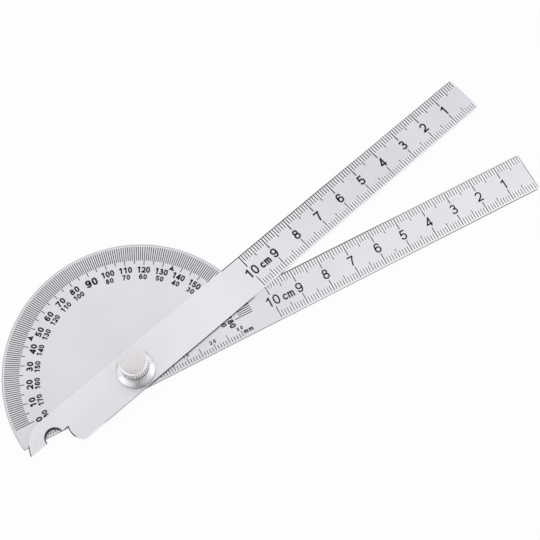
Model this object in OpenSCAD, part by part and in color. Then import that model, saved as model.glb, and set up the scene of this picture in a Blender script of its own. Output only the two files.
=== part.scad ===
// Angle finder: a half-round protractor head with a fixed rule arm, and a second rule arm
// that swings on the head's centre and is clamped there by a knurled thumb nut.
// Millimetres. The origin is on the pivot axis, in the flat underside of the base plate.
// +X runs along the fixed arm to its free end, +Y to the round side of the head, +Z up.

/* [Arms] */
// Width of each arm
arm_w = 14; // [12:0.5:16]
// Pivot axis to the free end of each arm
arm_reach = 150.5; // [120:0.5:200]
// Thickness of the stamped sheet of both plates
sheet_t = 1; // [0.8:0.1:1.5]
// Corner radius at the free ends
end_corner_r = 0.8; // [0.3:0.1:2]
// Angle that the swing arm is set to, from the fixed arm
set_angle = 13.8; // [0:0.1:180]
// Gap between the faces of the two plates
sheet_gap = 0.05; // [0.02:0.01:0.2]

/* [Protractor head] */
// Radius of the rim, from the pivot axis
head_r = 43.8; // [38:0.1:60]
// Radius of the inside corner where the rim meets the fixed arm
crotch_r = 1.5; // [0.5:0.1:4]

/* [Tail of the swing arm] */
// Pointer tip in from the head's rim
tip_inset = 0.5; // [0.2:0.1:3]
// Radius of the curve from the arm's upper edge to the tip
beak_r = 9.6; // [9:0.1:13]
// Radius of the sight notch in the reading edge
notch_r = 2.9; // [1.5:0.1:3.6]
// Tip to the centre of the sight notch
notch_back = 9.5; // [8:0.1:10.5]
// Tip to the shoulder, along the reading edge
shoulder_back = 15; // [14.5:0.1:20]
// Radius of the shoulder's curve
shoulder_r = 5.6; // [5:0.1:9]
// Centre of the shoulder's curve, up from the arm's lower edge
shoulder_up = 4.4; // [3.5:0.1:4.8]

/* [Pivot stud] */
// Radius of the head, flush in the base plate's underside
stud_head_r = 3.7; // [3.2:0.1:6]
// Thickness of the flush head
stud_head_t = 0.5; // [0.3:0.05:0.7]
// Radius of the smooth journal that the swing arm turns on
journal_r = 2.5; // [2.3:0.1:2.8]
// Outside diameter of the thread
thread_d = 4; // [3:0.5:4.5]
// Length of the thread above the journal
thread_l = 7.5; // [5:0.1:8]
// Chamfer at the stud's end
stud_chamfer = 0.4; // [0.1:0.1:0.8]
// Radial clearance between pieces that turn on each other
running_gap = 0.05; // [0.02:0.01:0.1]

/* [Dished washer] */
// Outside radius of the washer
washer_r = 6.5; // [5.5:0.1:8]
// Radius of the washer's hole
washer_hole_r = 3; // [2.7:0.1:3.2]
// Thickness of the washer
washer_t = 0.6; // [0.4:0.1:1]
// Height that the washer is dished to
dish_rise = 1; // [0.9:0.1:1.6]
// Width of the flat land that the washer stands on
foot_w = 0.5; // [0.3:0.1:1]

/* [Thumb nut] */
// Radius over the knurled band
band_r = 4.85; // [4.4:0.05:7]
// Height of the knurled band, with its chamfers
band_h = 5.9; // [4.8:0.1:8]
// Ribs round the band
ribs = 56; // [36:2:72]
// Depth of the grooves between the ribs
rib_depth = 0.2; // [0.1:0.05:0.3]
// Chamfer round the top face
top_chamfer = 0.5; // [0.3:0.05:1]
// Chamfer at the foot of the band
foot_chamfer = 0.3; // [0.1:0.05:0.5]
// Radius of the neck under the band
neck_r = 3.6; // [3.4:0.05:4]
// Height of the neck between washer and band
neck_h = 1.75; // [0.8:0.05:3]
// Lip that keeps the washer on the nut, out from the edge of the washer's hole
lip_w = 0.3; // [0.2:0.05:0.5]
// Thickness of the lip
lip_t = 0.3; // [0.2:0.05:0.4]
// Free depth of the nut's blind hole past the stud's end
hole_spare = 0.4; // [0.2:0.1:1]

/* [Hidden] */
$fn = 128;
half_w = arm_w / 2;
// A cut runs this far past the face that it opens
past = 0.5;

// Heights, from the underside up
arm_z = sheet_t + sheet_gap;
arm_top = arm_z + sheet_t;
stud_top = arm_top + thread_l;
washer_top = arm_top + dish_rise + washer_t;
band_z = washer_top + neck_h;
nut_top = band_z + band_h;

// Tail of the swing arm, in the arm's own axes: the reading edge is its centre line
tip_u = -(head_r - tip_inset);
beak_v = half_w - beak_r;
beak_u = tip_u + sqrt(beak_r ^ 2 - beak_v ^ 2);
notch_u = tip_u + notch_back;
shoulder_v = shoulder_up - half_w;
shoulder_u = tip_u + shoulder_back + sqrt(shoulder_r ^ 2 - shoulder_v ^ 2);

// Fillet between the rim and the fixed arm's upper edge. Its circle is a little larger than
// one that only touches them, so that it crosses both edges.
crotch_bite = 0.02;
crotch_y = half_w + crotch_r;
crotch_x = sqrt((head_r + crotch_r) ^ 2 - crotch_y ^ 2);

// Washer and nut
foot_r = washer_r - foot_w;
thread_hole_r = thread_d / 2 + running_gap;
spigot_r = washer_hole_r - running_gap;
lip_r = washer_hole_r + lip_w;
lip_top = dish_underside(lip_r) - running_gap;

steel = [0.86, 0.86, 0.89];
plated = [0.95, 0.95, 0.95];
nickel = [0.85, 0.82, 0.81];

// Height of the washer's underside at a radius
function dish_underside(r) = arm_top + dish_rise * (foot_r - r) / (foot_r - washer_hole_r);

// Outline of a straight knurl: a rib and a groove in turn
function knurl(radius, depth, count) = [
    for (i = [0:2 * count - 1])
        let (r = i % 2 == 0 ? radius : radius - depth, a = 180 * i / count)
            [r * cos(a), r * sin(a)]
];

// A strip of the arm from u0 to the free end, between v0 and v1, with the end's upper
// and lower corners rounded where they are asked for
module strip(u0, v0, v1, round_top = true, round_foot = true) {
    r = end_corner_r;
    difference() {
        translate([u0, v0])
            square([arm_reach - u0, v1 - v0]);
        if (round_top)
            translate([arm_reach - r, v1 - r])
                corner_waste(r);
        if (round_foot)
            translate([arm_reach - r, v0 + r])
                mirror([0, 1])
                    corner_waste(r);
    }
}

// What a rounded corner loses, for a corner towards +X and +Y round the origin
module corner_waste(r) {
    difference() {
        square(r + past);
        circle(r);
    }
}

// The stamped outline of the base plate
module base_outline() {
    intersection() {
        circle(head_r, $fn = 180);
        translate([-head_r - past, -half_w])
            square([2 * (head_r + past), head_r + half_w + past]);
    }
    strip(0, -half_w, half_w);
    difference() {
        polygon([[0, 0], [crotch_x, 0], [crotch_x, crotch_y]]);
        translate([crotch_x, crotch_y])
            circle(crotch_r + crotch_bite);
    }
}

// The stamped outline of the swing arm, along +X, with its tail towards -X
module arm_outline() {
    difference() {
        intersection() {
            strip(tip_u, 0, half_w, round_foot = false);
            union() {
                translate([beak_u, beak_v])
                    circle(beak_r);
                translate([beak_u, 0])
                    square([arm_reach - beak_u, half_w]);
            }
        }
        translate([notch_u, 0])
            circle(notch_r);
    }
    intersection() {
        strip(shoulder_u - shoulder_r, -half_w, 0, round_top = false);
        union() {
            translate([shoulder_u, shoulder_v])
                circle(shoulder_r);
            translate([shoulder_u, -half_w])
                square([arm_reach - shoulder_u, half_w]);
        }
    }
}

module base_plate() {
    color(steel)
        difference() {
            linear_extrude(sheet_t)
                base_outline();
            translate([0, 0, -past])
                cylinder(r = journal_r, h = sheet_t + 2 * past);
            translate([0, 0, -past])
                cylinder(r = stud_head_r, h = stud_head_t + past);
        }
}

module swing_arm() {
    color(steel)
        translate([0, 0, arm_z])
            rotate([0, 0, set_angle])
                difference() {
                    linear_extrude(sheet_t)
                        arm_outline();
                    translate([0, 0, -past])
                        cylinder(r = journal_r + running_gap, h = sheet_t + 2 * past);
                }
}

module pivot_stud() {
    thread_r = thread_d / 2;
    color(plated)
        rotate_extrude()
            polygon([
                [0, 0],
                [stud_head_r, 0],
                [stud_head_r, stud_head_t],
                [journal_r, stud_head_t],
                [journal_r, arm_top],
                [thread_r, arm_top],
                [thread_r, stud_top - stud_chamfer],
                [thread_r - stud_chamfer, stud_top],
                [0, stud_top]
            ]);
}

module dished_washer() {
    color(plated)
        rotate_extrude()
            polygon([
                [washer_hole_r, arm_top + dish_rise],
                [foot_r, arm_top],
                [washer_r, arm_top],
                [washer_r, arm_top + washer_t],
                [washer_hole_r, washer_top]
            ]);
}

// The nut's turned shape, from the lip under the washer to the top face. Its chamfers run
// out past the knurl, which sets the band's own radius.
module nut_blank() {
    rotate_extrude()
        polygon([
            [0, lip_top - lip_t],
            [lip_r, lip_top - lip_t],
            [lip_r, lip_top],
            [spigot_r, lip_top],
            [spigot_r, washer_top],
            [neck_r, washer_top],
            [neck_r, band_z],
            [band_r - foot_chamfer, band_z],
            [band_r + past, band_z + foot_chamfer + past],
            [band_r + past, nut_top - top_chamfer - past],
            [band_r - top_chamfer, nut_top],
            [0, nut_top]
        ]);
}

module thumb_nut() {
    color(nickel)
        difference() {
            intersection() {
                nut_blank();
                translate([0, 0, arm_top])
                    linear_extrude(nut_top - arm_top + past)
                        polygon(knurl(band_r, rib_depth, ribs));
            }
            translate([0, 0, arm_top])
                cylinder(r = thread_hole_r, h = thread_l + hole_spare);
        }
}

base_plate();
swing_arm();
pivot_stud();
dished_washer();
thumb_nut();
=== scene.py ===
import math

import bmesh
import bpy
from mathutils import Euler, Matrix, Vector


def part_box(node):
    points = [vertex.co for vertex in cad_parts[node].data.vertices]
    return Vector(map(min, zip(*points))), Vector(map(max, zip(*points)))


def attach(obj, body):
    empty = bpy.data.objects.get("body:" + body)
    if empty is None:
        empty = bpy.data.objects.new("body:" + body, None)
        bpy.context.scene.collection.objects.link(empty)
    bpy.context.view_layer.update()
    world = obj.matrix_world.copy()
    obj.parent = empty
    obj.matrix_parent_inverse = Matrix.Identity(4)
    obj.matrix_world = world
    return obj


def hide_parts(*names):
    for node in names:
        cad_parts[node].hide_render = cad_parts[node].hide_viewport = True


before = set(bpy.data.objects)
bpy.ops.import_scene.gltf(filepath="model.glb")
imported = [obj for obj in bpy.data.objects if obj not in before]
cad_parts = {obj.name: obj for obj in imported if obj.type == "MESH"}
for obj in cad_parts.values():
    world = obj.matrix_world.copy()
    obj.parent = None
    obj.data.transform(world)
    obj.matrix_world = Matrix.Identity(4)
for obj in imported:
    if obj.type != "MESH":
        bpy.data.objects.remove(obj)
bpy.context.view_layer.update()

bl_info = {
    "name": "Angle Finder Finish",
    "version": (1, 0, 0),
    "blender": (4, 5, 0),
    "location": "View3D > Sidebar > Angle Finder",
    "description": "Steel finishes, etched scales, turned clamp and studio for an angle finder",
    "category": "Object",
}

MM = 0.001
PLATE_LO, PLATE_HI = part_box("base_plate")
WASHER_LO, WASHER_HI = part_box("dished_washer")
NUT_LO, NUT_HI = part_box("thumb_nut")

# Places that the frame gives. Both arms are as wide as the fixed one and reach as far.
REACH = PLATE_HI.x
HALF_W = -PLATE_LO.y
RIM_R = PLATE_HI.y
PLATE_TOP = PLATE_HI.z
ARM_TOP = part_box("swing_arm")[1].z
STUD_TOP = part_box("pivot_stud")[1].z
UP = Vector((0, 0, 1))

# The scale of each arm, in millimetres, which ends at the arm's free end
SCALE_UNITS = 100
SCALE_START = REACH - SCALE_UNITS * MM


# ---------------------------------------------------------------------------------------
# Sizes and colours that a user would change
# ---------------------------------------------------------------------------------------


def length(name, description, millimetres):
    """A length property, with its default given in millimetres."""
    return bpy.props.FloatProperty(
        name=name,
        description=description,
        default=millimetres * MM,
        subtype="DISTANCE",
        unit="LENGTH",
        precision=5,
    )


def angle(name, description, degrees):
    """An angle property, with its default given in degrees."""
    return bpy.props.FloatProperty(
        name=name,
        description=description,
        default=math.radians(degrees),
        subtype="ANGLE",
        unit="ROTATION",
    )


def colour(name, description, red, green, blue):
    """A colour property, with its default given as display values from 0 to 255."""
    return bpy.props.FloatVectorProperty(
        name=name,
        description=description,
        default=[linear(v) for v in (red, green, blue)],
        subtype="COLOR",
        size=3,
        min=0,
        max=1,
    )


def share(name, description, value):
    """A property from 0 to 1."""
    return bpy.props.FloatProperty(
        name=name, description=description, default=value, subtype="FACTOR", min=0, max=1
    )


def linear(display):
    """Linear light of a display value from 0 to 255."""
    value = display / 255
    return value / 12.92 if value <= 0.04045 else ((value + 0.055) / 1.055) ** 2.4


class AngleFinderMarks(bpy.types.PropertyGroup):
    """Sizes of the etched lines and numbers."""

    set_angle: angle("Set angle", "From the fixed arm to the swing arm", 13.8)
    rise: length("Rise", "How far the ink stands over the steel", 0.012)
    sink: length("Sink", "How deep the ink goes into the steel", 0.03)
    edge_gap: length("Edge gap", "Bare steel between a line's end and the far edge", 0.22)
    near_gap: length("Near gap", "Bare steel between a line's end and the near edge", 0.48)
    line_w: length("Line", "Width of the lines of the arm scales", 0.24)
    far_line_w: length("Far line", "Width of the swing arm's lines on its far edge", 0.31)
    degree_w: length("Degree line", "Width of the lines of the degree scale", 0.27)
    digit_h: length("Digits", "Height of the numbers of the arm scales", 3.5)
    degree_h: length("Degree digits", "Height of the outer row of degree numbers", 2.2)
    reverse_h: length("Reverse digits", "Height of the inner row of degree numbers", 1.85)
    square_h: length("Right angle", "Height of the number at the right angle", 2.8)
    edge_h: length("Edge digits", "Height of the numbers of the edge scale", 1.3)
    swing_pen: share("Swing pen", "Stroke of the swing arm's numbers, by their height", 0.18)
    fixed_pen: share("Fixed pen", "Stroke of the fixed arm's numbers, by their height", 0.15)
    bold_pen: share("Bold pen", "Stroke of the head's numbers, by their height", 0.24)


class AngleFinderFinish(bpy.types.PropertyGroup):
    """Colours and roughness of the metals and the ink, with the colours of the painted shade and
    the painted highlight.
    """

    head: colour("Head", "Satin steel of the protractor head", 225, 224, 230)
    fixed_rule: colour("Fixed rule", "Steel of the fixed arm's scale", 220, 219, 224)
    # The base plate's wall colour is painted shade on its walls and on the lines along its far
    # edge and free end.
    head_wall: colour("Base plate's edge", "Broken steel of its side walls", 50, 50, 54)
    swing: colour("Swing arm", "Satin steel of the swing arm", 234, 234, 240)
    swing_rule: colour("Swing rule", "Steel of the swing arm's scale", 216, 216, 223)
    # The swing arm's wall colour is painted shade on its tail walls, round the sight notch and
    # along its far edge, notch and shoulder.
    swing_wall: colour("Swing arm's edge", "Broken steel of its side walls", 50, 50, 54)
    nut: colour("Nut", "Nickel of the thumb nut", 230, 224, 226)
    # A painted highlight: the lighter colour of the nut's chamfers.
    nut_chamfer: colour("Nut's chamfers", "Polished nickel", 248, 246, 247)
    # Painted shade in the nut's knurl grooves and along the foot of its band.
    nut_groove: colour("Nut's grooves", "Dull nickel between the ribs", 70, 68, 70)
    washer: colour("Washer", "Bright plating of the washer", 232, 233, 235)
    # Painted shade on the washer's upright rim.
    washer_wall: colour("Washer's edge", "Plating of the washer's rim", 70, 70, 72)
    stud: colour("Stud", "Steel of the pivot stud", 200, 200, 204)
    # Painted shade on the stud's upright faces.
    stud_wall: colour("Thread", "Steel of the thread's flanks", 120, 120, 124)
    ink: colour("Ink", "Black fill of the etched marks", 24, 24, 28)
    satin: share("Satin", "Roughness of both plates", 0.34)
    turned: share("Turned", "Roughness of nut and stud", 0.3)
    bright: share("Bright", "Roughness of the washer", 0.38)


class AngleFinderStudio(bpy.types.PropertyGroup):
    """Camera, floor and light."""

    place: bpy.props.FloatVectorProperty(
        name="Camera",
        description="Where the camera stands",
        default=(-11.468 * MM, -117.447 * MM, 394.494 * MM),
        subtype="XYZ",
        unit="LENGTH",
        size=3,
    )
    tilt: angle("Tilt", "The camera's lean from looking straight down", 20.053)
    roll: angle("Roll", "The camera's roll", 0.197)
    heading: angle("Heading", "The camera's turn about the vertical", -28.009)
    lens: bpy.props.FloatProperty(
        name="Lens", description="Focal length, in millimetres", default=83.238
    )
    key: bpy.props.FloatProperty(
        name="Key", description="Power of the key lamp", default=1.2, unit="POWER"
    )
    fill: bpy.props.FloatProperty(
        name="Fill", description="Power of the fill lamp", default=0.8, unit="POWER"
    )
    ambient: share("Ambient", "Strength of the room's even light", 0.8)
    floor_glow: share("Floor glow", "Share of the floor's white that takes no shadow", 0.9)


# ---------------------------------------------------------------------------------------
# Nodes
# ---------------------------------------------------------------------------------------

WHITE = (1, 1, 1)
BLACK = (0, 0, 0)

# A place multiplied by this keeps everything but its height
FLAT = (1, 1, 0)


def add_node(tree, kind, settings=None, inputs=None):
    """Adds a node. An input is a value, or a socket to link from."""
    made = tree.nodes.new(kind)
    for name, value in (settings or {}).items():
        setattr(made, name, value)
    for socket, value in (inputs or {}).items():
        if isinstance(value, bpy.types.NodeSocket):
            tree.links.new(value, made.inputs[socket])
        else:
            made.inputs[socket].default_value = value
    return made


def math_node(tree, operation, *values):
    """A Math node's output."""
    made = add_node(tree, "ShaderNodeMath", {"operation": operation}, dict(enumerate(values)))
    return made.outputs[0]


def product(tree, first, *others):
    """Numbers multiplied together."""
    for other in others:
        first = math_node(tree, "MULTIPLY", first, other)
    return first


def larger(tree, first, second):
    """The larger of two numbers."""
    return math_node(tree, "MAXIMUM", first, second)


def inverse(tree, mask):
    """A mask turned round, so that it is 1 where it was 0."""
    return math_node(tree, "SUBTRACT", 1.0, mask)


def vector_math(tree, operation, *vectors):
    """A Vector Math node's output, which is a number for a length or a distance."""
    made = add_node(
        tree, "ShaderNodeVectorMath", {"operation": operation}, dict(enumerate(vectors))
    )
    return made.outputs["Value" if operation in ("LENGTH", "DISTANCE") else "Vector"]


def axes(tree, vector):
    """A vector's X, Y and Z, by name."""
    return add_node(tree, "ShaderNodeSeparateXYZ", inputs={0: vector}).outputs


def distance_from(tree, place, centre):
    """The distance from a centre, as seen from above."""
    return vector_math(tree, "DISTANCE", vector_math(tree, "MULTIPLY", place, FLAT), centre)


def mix_colour(tree, factor, first, second):
    """A colour between two colours, which are sockets or tuples."""
    made = add_node(
        tree,
        "ShaderNodeMix",
        {"data_type": "RGBA"},
        {0: factor, 6: padded(first), 7: padded(second)},
    )
    return made.outputs[2]


def padded(value):
    """A colour with its alpha, or a socket as it is."""
    return value if isinstance(value, bpy.types.NodeSocket) else (*value, 1)


def ramp(tree, value, low, high):
    """0 at low, 1 at high, and smooth between them. It falls where low is the higher one."""
    made = add_node(
        tree,
        "ShaderNodeMapRange",
        {"interpolation_type": "SMOOTHSTEP"},
        {"Value": value, "From Min": low, "From Max": high},
    )
    return made.outputs["Result"]


def ramp_from(tree, origin, value, low, high):
    """A ramp over how far a value is past an origin."""
    return ramp(tree, math_node(tree, "SUBTRACT", value, origin), low, high)


def noise(tree, vector, scale, detail, roughness=0.5):
    """A noise texture's value."""
    made = add_node(
        tree,
        "ShaderNodeTexNoise",
        inputs={"Vector": vector, "Scale": scale, "Detail": detail, "Roughness": roughness},
    )
    return made.outputs["Fac"]


def object_place(tree, turn=0.0):
    """Object coordinates, turned about Z so that X runs along a piece."""
    coordinates = tree.nodes.new("ShaderNodeTexCoord").outputs["Object"]
    return in_turned_axes(tree, "POINT", coordinates, turn)


def object_normal(tree, turn):
    """The way that the surface faces, in the same turned axes."""
    normal = tree.nodes.new("ShaderNodeNewGeometry").outputs["Normal"]
    return in_turned_axes(tree, "NORMAL", normal, turn)


def in_turned_axes(tree, kind, vector, turn):
    """A place or a normal in axes that are turned about Z."""
    mapping = add_node(
        tree,
        "ShaderNodeMapping",
        {"vector_type": kind},
        {"Vector": vector, "Rotation": (0, 0, -turn)},
    )
    return mapping.outputs[0]


def start_group(name, vectors, numbers):
    """A new shader node group with vector inputs and number inputs, and their sockets."""
    group = bpy.data.node_groups.new(name, "ShaderNodeTree")
    for socket in vectors:
        group.interface.new_socket(
            name=socket, in_out="INPUT", socket_type="NodeSocketVector"
        )
    for socket, default in numbers.items():
        made = group.interface.new_socket(
            name=socket, in_out="INPUT", socket_type="NodeSocketFloat"
        )
        made.default_value = default
    return group, group.nodes.new("NodeGroupInput").outputs


def end_group(group, results):
    """Gives a group its number outputs, each from the socket that makes it."""
    for name in results:
        group.interface.new_socket(name=name, in_out="OUTPUT", socket_type="NodeSocketFloat")
    ends = group.nodes.new("NodeGroupOutput").inputs
    for name, socket in results.items():
        group.links.new(socket, ends[name])
    return group


def use_group(tree, name, maker, inputs):
    """Places a shared group in a material, and builds it the first time. Gives its outputs."""
    group = bpy.data.node_groups.get(name) or maker(name)
    return add_node(tree, "ShaderNodeGroup", {"node_tree": group}, inputs).outputs


def new_material(name):
    """An empty node material, with its Principled shader."""
    material = bpy.data.materials.new(name)
    material.use_nodes = True
    shader = material.node_tree.nodes["Principled BSDF"]
    return material, material.node_tree, shader


def link_metal(tree, shader, colour, roughness, height, strength, depth):
    """Links a metal's colour, roughness and relief to its shader."""
    bump = add_node(
        tree,
        "ShaderNodeBump",
        inputs={"Strength": strength, "Distance": depth, "Height": height},
    )
    tree.links.new(colour, shader.inputs["Base Color"])
    tree.links.new(roughness, shader.inputs["Roughness"])
    tree.links.new(bump.outputs[0], shader.inputs["Normal"])
    shader.inputs["Metallic"].default_value = 1.0


# ---------------------------------------------------------------------------------------
# Steel sheet. Places are in an arm's own axes: X to its free end, Y to its far edge.
# ---------------------------------------------------------------------------------------

# What the scratches and the mottle do to the steel's tone and roughness
GRAIN_RANGE = (0.3, 0.7)
SCRATCH_SHARE = 0.45
GRAIN_DARK = 0.06
GRAIN_LIGHT = 0.1
GRAIN_ROUGH = 0.14
GRAIN_BUMP = 0.25
GRAIN_DEPTH = 0.01 * MM

# Where the steel changes from the plain stretch's tone to the scale's
TONE_CHANGE = {
    "base_plate": (92 * MM, 135 * MM),
    "swing_arm": (20 * MM, 108 * MM),
}

# The bright steel in the rows of lines, and where it starts across and along an arm
ROW_SHINE = 0.3
ROW_W = 2.8 * MM
ROW_EDGE = (HALF_W - ROW_W - 0.3 * MM, HALF_W - ROW_W)
ROW_START = (SCALE_START - 0.7 * MM, SCALE_START - 0.3 * MM)

# The painted shade line along an edge, which stands for the thin shadow along it: how it starts
# inside the edge and under the upper face, how it fades at its ends, how strong it is, and where
# it weakens towards the free end
SHADE_W = 0.42 * MM
SHADE_SPAN = (-SHADE_W, -SHADE_W / 2)
SHADE_TOP = (-0.3 * MM, -0.15 * MM)
SHADE_FADE = 0.2 * MM
RIM_STRENGTH = 0.33
FAR_STRENGTH = 0.95
FADED_SHADE_STRENGTH = 0.5
END_STRENGTH = 0.6
SHADE_WEAKENS = (85 * MM, 110 * MM)

# The walls, by how far they lean, and their lower part, which takes painted shade as the shadow at
# its foot and is rougher, as a punched edge is. It grows to the whole wall towards the free end.
UPRIGHT = (0.6, 0.3)
ENDWISE = (0.5, 0.8)
LOWER_SHADE_SHARE = 0.7
LOWER_SHADE_EDGE = 0.1 * MM
LOWER_SHADE_END = (95 * MM, 130 * MM)
WALL_ROUGH = 0.2

# The curve of the swing arm's beak
BEAK_R = 9.6 * MM
BEAK_TIP_X = -43.3 * MM
BEAK_LOW = 2.6 * MM
BEAK_CENTRE = Vector((BEAK_TIP_X + math.sqrt(BEAK_R**2 - BEAK_LOW**2), -BEAK_LOW, 0))

# The swing arm's walls are painted near white from the head to the free end, a painted reflection
# of the floor. On the tail they take painted shade, but not on its near side at the tip and at the
# foot of the shoulder. These are the places along and across the arm where that changes.
FLOOR_REFLECTION_TONE = (0.97, 0.97, 0.97)
TAIL_END = (RIM_R + 3 * MM, RIM_R)
TIP_START = (-36.7 * MM, -37.3 * MM)
TIP_EDGE = (0.5 * MM, 0.1 * MM)
FOOT_END = (-17 * MM, -20 * MM)
FOOT_EDGE = (-4.0 * MM, -4.9 * MM)

# The tail's sight notch and shoulder
NOTCH_CENTRE = Vector((-33.8, 0, 0)) * MM
NOTCH_R = 2.9 * MM
NOTCH_FADE = 0.5 * MM
SHOULDER_CENTRE = Vector((-23.34, -2.6, 0)) * MM
SHOULDER_R = 5.6 * MM
SHOULDER_TOP = (0.0, -0.3 * MM)
SHOULDER_END = (-22 * MM, -24 * MM)

# The painted shade line along the upper far edge of each plate: round a centre as far as one x,
# and straight from another
FAR_EDGES = {
    "base_plate": {
        "Centre": Vector(),
        "Radius": RIM_R,
        "Curve End": RIM_R - 0.8 * MM,
        "Curve Strength": RIM_STRENGTH,
        "Straight Start": RIM_R + 0.8 * MM,
    },
    "swing_arm": {
        "Centre": BEAK_CENTRE,
        "Radius": BEAK_R,
        "Curve End": -41.4 * MM,
        "Curve Strength": FAR_STRENGTH,
        "Straight Start": RIM_R - 1 * MM,
    },
}


def brushed_grain(name):
    """Fine straight scratches along X, and their tone with a soft mottle over centimetres."""
    group, given = start_group(
        name,
        ["Vector"],
        {"Scratches Across": 9000.0, "Scratches Along": 120.0, "Mottle Scale": 45.0},
    )
    along = given["Scratches Along"]
    stretch = add_node(
        group,
        "ShaderNodeCombineXYZ",
        inputs={0: along, 1: given["Scratches Across"], 2: along},
    )
    scaled = vector_math(group, "MULTIPLY", given["Vector"], stretch.outputs[0])
    scratches = noise(group, scaled, scale=1.0, detail=4.0, roughness=0.6)
    mottle = noise(group, given["Vector"], given["Mottle Scale"], detail=2.0)
    tone = math_node(
        group,
        "MULTIPLY_ADD",
        ramp(group, scratches, *GRAIN_RANGE),
        SCRATCH_SHARE,
        product(group, ramp(group, mottle, *GRAIN_RANGE), 1 - SCRATCH_SHARE),
    )
    return end_group(group, {"Grain": scratches, "Tone": tone})


def line_rows(name):
    """The two rows of lines along an arm's scale, where the steel is wiped bright."""
    group, given = start_group(name, ["Vector"], {"Shine": ROW_SHINE})
    spot = axes(group, given["Vector"])
    row = ramp(group, math_node(group, "ABSOLUTE", spot["Y"]), *ROW_EDGE)
    start = ramp(group, spot["X"], *ROW_START)
    return end_group(group, {"Shine": product(group, row, start, given["Shine"])})


def edge_roll(name):
    """The painted shade line along a sheet's upper far edge, which is a curve round a centre up to
    one x and straight from another. On the straight part the painted shade weakens towards the
    free end."""
    group, given = start_group(
        name,
        ["Vector", "Centre"],
        {
            "Radius": RIM_R,
            "Curve End": RIM_R,
            "Curve Strength": FAR_STRENGTH,
            "Straight Start": RIM_R,
            "Top": PLATE_TOP,
        },
    )
    spot = axes(group, given["Vector"])
    away = distance_from(group, given["Vector"], given["Centre"])
    curve = product(
        group,
        ramp_from(group, given["Radius"], away, *SHADE_SPAN),
        ramp_from(group, given["Curve End"], spot["X"], 0.0, -SHADE_FADE),
        given["Curve Strength"],
    )
    wear_and_shade_fade = ramp(group, spot["X"], *SHADE_WEAKENS)
    straight = product(
        group,
        ramp_from(group, HALF_W, spot["Y"], *SHADE_SPAN),
        ramp_from(group, given["Straight Start"], spot["X"], 0.0, SHADE_FADE),
        math_node(group, "MULTIPLY_ADD", wear_and_shade_fade, FADED_SHADE_STRENGTH - FAR_STRENGTH, FAR_STRENGTH),
    )
    upper = ramp_from(group, given["Top"], spot["Z"], *SHADE_TOP)
    return end_group(group, {"Roll": product(group, larger(group, curve, straight), upper)})


def sheet_walls(name):
    """Masks of a sheet's side walls, where painted shade goes: all of them, those that face along
    the arm, and the part under one height, which rises to the top towards the free end."""
    group, given = start_group(
        name, ["Vector", "Normal"], {"Break": LOWER_SHADE_SHARE * PLATE_TOP, "Top": PLATE_TOP}
    )
    spot, facing = axes(group, given["Vector"]), axes(group, given["Normal"])
    upright = ramp(group, math_node(group, "ABSOLUTE", facing["Z"]), *UPRIGHT)
    endwise = ramp(group, math_node(group, "ABSOLUTE", facing["X"]), *ENDWISE)
    rise = math_node(group, "SUBTRACT", given["Break"], given["Top"])
    height = math_node(group, "MULTIPLY_ADD", ramp(group, spot["X"], *LOWER_SHADE_END), rise, spot["Z"])
    wall_shade = ramp_from(group, given["Break"], height, LOWER_SHADE_EDGE, -LOWER_SHADE_EDGE)
    return end_group(group, {"Upright": upright, "Endwise": endwise, "Broken": wall_shade})


def plate_material(node, colours, roughness, turn):
    """Satin steel sheet: a plain stretch, a finer scale stretch and punched side walls, with
    painted shade on the walls and along the edges.
    """
    plain, rule, shade_tone = colours
    lowest, highest = (corner.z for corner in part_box(node))
    material, tree, shader = new_material("satin_" + node)
    place = object_place(tree, turn)
    along = axes(tree, place)["X"]
    grain = use_group(tree, "BrushedGrain", brushed_grain, {"Vector": place})
    face = mix_colour(tree, ramp(tree, along, *TONE_CHANGE[node]), plain, rule)
    surface = streaked(tree, grain["Tone"], face, GRAIN_DARK, GRAIN_LIGHT)
    rows = use_group(tree, "LineRows", line_rows, {"Vector": place, "Shine": ROW_SHINE})
    surface = mix_colour(tree, rows["Shine"], surface, WHITE)
    # Painted shade line along the upper far edge.
    roll = use_group(
        tree, "EdgeRoll", edge_roll, {"Vector": place, "Top": highest, **FAR_EDGES[node]}
    )["Roll"]
    walls = use_group(
        tree,
        "SheetWalls",
        sheet_walls,
        {
            "Vector": place,
            "Normal": object_normal(tree, turn),
            "Break": lowest + LOWER_SHADE_SHARE * (highest - lowest),
            "Top": highest,
        },
    )
    if node == "swing_arm":
        surface, roll, painted_shade = arm_edges(tree, place, surface, roll, walls)
    else:
        # Painted shade line along the free end.
        end = ramp_from(tree, REACH, along, *SHADE_SPAN)
        roll = larger(tree, roll, product(tree, end, END_STRENGTH))
        # Painted shade on the walls' lower part and on walls that face along the arm.
        painted_shade = product(tree, larger(tree, walls["Broken"], walls["Endwise"]), walls["Upright"])
    painted_shade = larger(tree, roll, painted_shade)
    fine = math_node(
        tree, "MULTIPLY_ADD", grain["Grain"], GRAIN_ROUGH, roughness - GRAIN_ROUGH / 2
    )
    # Walls are rougher, as punched edges are. The painted shade colour goes on the walls and the
    # edge lines.
    rough = math_node(tree, "MULTIPLY_ADD", painted_shade, WALL_ROUGH, fine)
    surface = mix_colour(tree, painted_shade, surface, shade_tone)
    link_metal(tree, shader, surface, rough, grain["Grain"], GRAIN_BUMP, GRAIN_DEPTH)
    return material


def streaked(tree, tone, face, darker, lighter):
    """A metal's colour, darker and lighter by shares where a tone goes from 0 to 1."""
    return mix_colour(
        tree,
        tone,
        mix_colour(tree, darker, face, BLACK),
        mix_colour(tree, lighter, face, WHITE),
    )


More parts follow.
